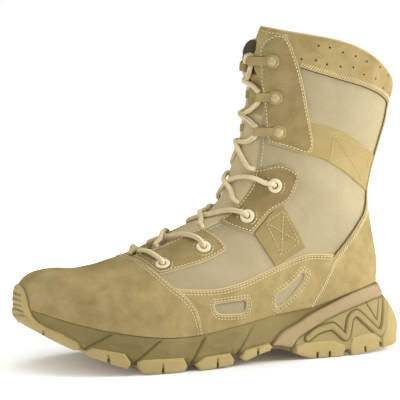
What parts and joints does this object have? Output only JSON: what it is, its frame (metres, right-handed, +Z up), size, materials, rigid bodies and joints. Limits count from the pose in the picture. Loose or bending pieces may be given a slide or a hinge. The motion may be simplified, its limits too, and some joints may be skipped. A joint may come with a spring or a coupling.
{
  "type": "military desert boot",
  "caption": "Left military desert boot with a hollow laced upper, suede overlays, padded collar, webbing straps, foam midsole and a lugged rubber outsole.",
  "frame": {"origin": "Middle of the boot's overall length and width, on the floor plane that its lugs stand on.", "axes": "+X from toe to heel, +Y towards the medial side, +Z up the shaft."},
  "size_m": [0.306, 0.1047, 0.2431],
  "materials": {
    "gum_rubber": "matt moulded rubber",
    "olive_foam": "matt moulded foam",
    "frame_plastic": "matt moulded plastic",
    "pod_rubber": "matt moulded rubber",
    "tan_suede": "brushed nap",
    "beige_canvas": "fine plain weave",
    "webbing": "woven tape",
    "lace_cord": "round braid",
    "eyelet_enamel": "cream enamel",
    "footbed": "brushed lining cloth"
  },
  "bodies": {
    "root": {"ankle_strap_lateral": "webbing", "ankle_strap_medial": "webbing", "collar": "tan_suede", "counter": "tan_suede", "eyelet_lateral_1": "eyelet_enamel", "eyelet_lateral_2": "eyelet_enamel", "eyelet_lateral_3": "eyelet_enamel", "eyelet_lateral_4": "eyelet_enamel", "eyelet_medial_1": "eyelet_enamel", "eyelet_medial_2": "eyelet_enamel", "eyelet_medial_3": "eyelet_enamel", "eyelet_medial_4": "eyelet_enamel", "eyestay_low_lateral": "tan_suede", "eyestay_low_medial": "tan_suede", "eyestay_mid_lateral": "tan_suede", "eyestay_mid_medial": "tan_suede", "eyestay_top_lateral": "tan_suede", "eyestay_top_medial": "tan_suede", "heel_frame": "frame_plastic", "heel_pod_lateral": "pod_rubber", "heel_pod_medial": "pod_rubber", "heel_rib_lateral": "pod_rubber", "heel_rib_medial": "pod_rubber", "insole": "footbed", "instep_strap_lateral": "webbing", "instep_strap_medial": "webbing", "lace_bar": "lace_cord", "lace_cross_1": "lace_cord", "lace_cross_2": "lace_cord", "lace_cross_3": "lace_cord", "lace_cross_4": "lace_cord", "lace_cross_5": "lace_cord", "lace_cross_6": "lace_cord", "lace_loop_lateral_1": "webbing", "lace_loop_lateral_2": "webbing", "lace_loop_lateral_3": "webbing", "lace_loop_medial_1": "webbing", "lace_loop_medial_2": "webbing", "lace_loop_medial_3": "webbing", "midsole": "olive_foam", "mudguard_lateral": "tan_suede", "mudguard_medial": "tan_suede", "outsole": "gum_rubber", "rivet_lateral_1": "eyelet_enamel", "rivet_lateral_2": "eyelet_enamel", "rivet_lateral_3": "eyelet_enamel", "rivet_medial_1": "eyelet_enamel", "rivet_medial_2": "eyelet_enamel", "rivet_medial_3": "eyelet_enamel", "tongue": "beige_canvas", "upper": "beige_canvas", "vamp": "tan_suede"}
  },
  "joints": []
}
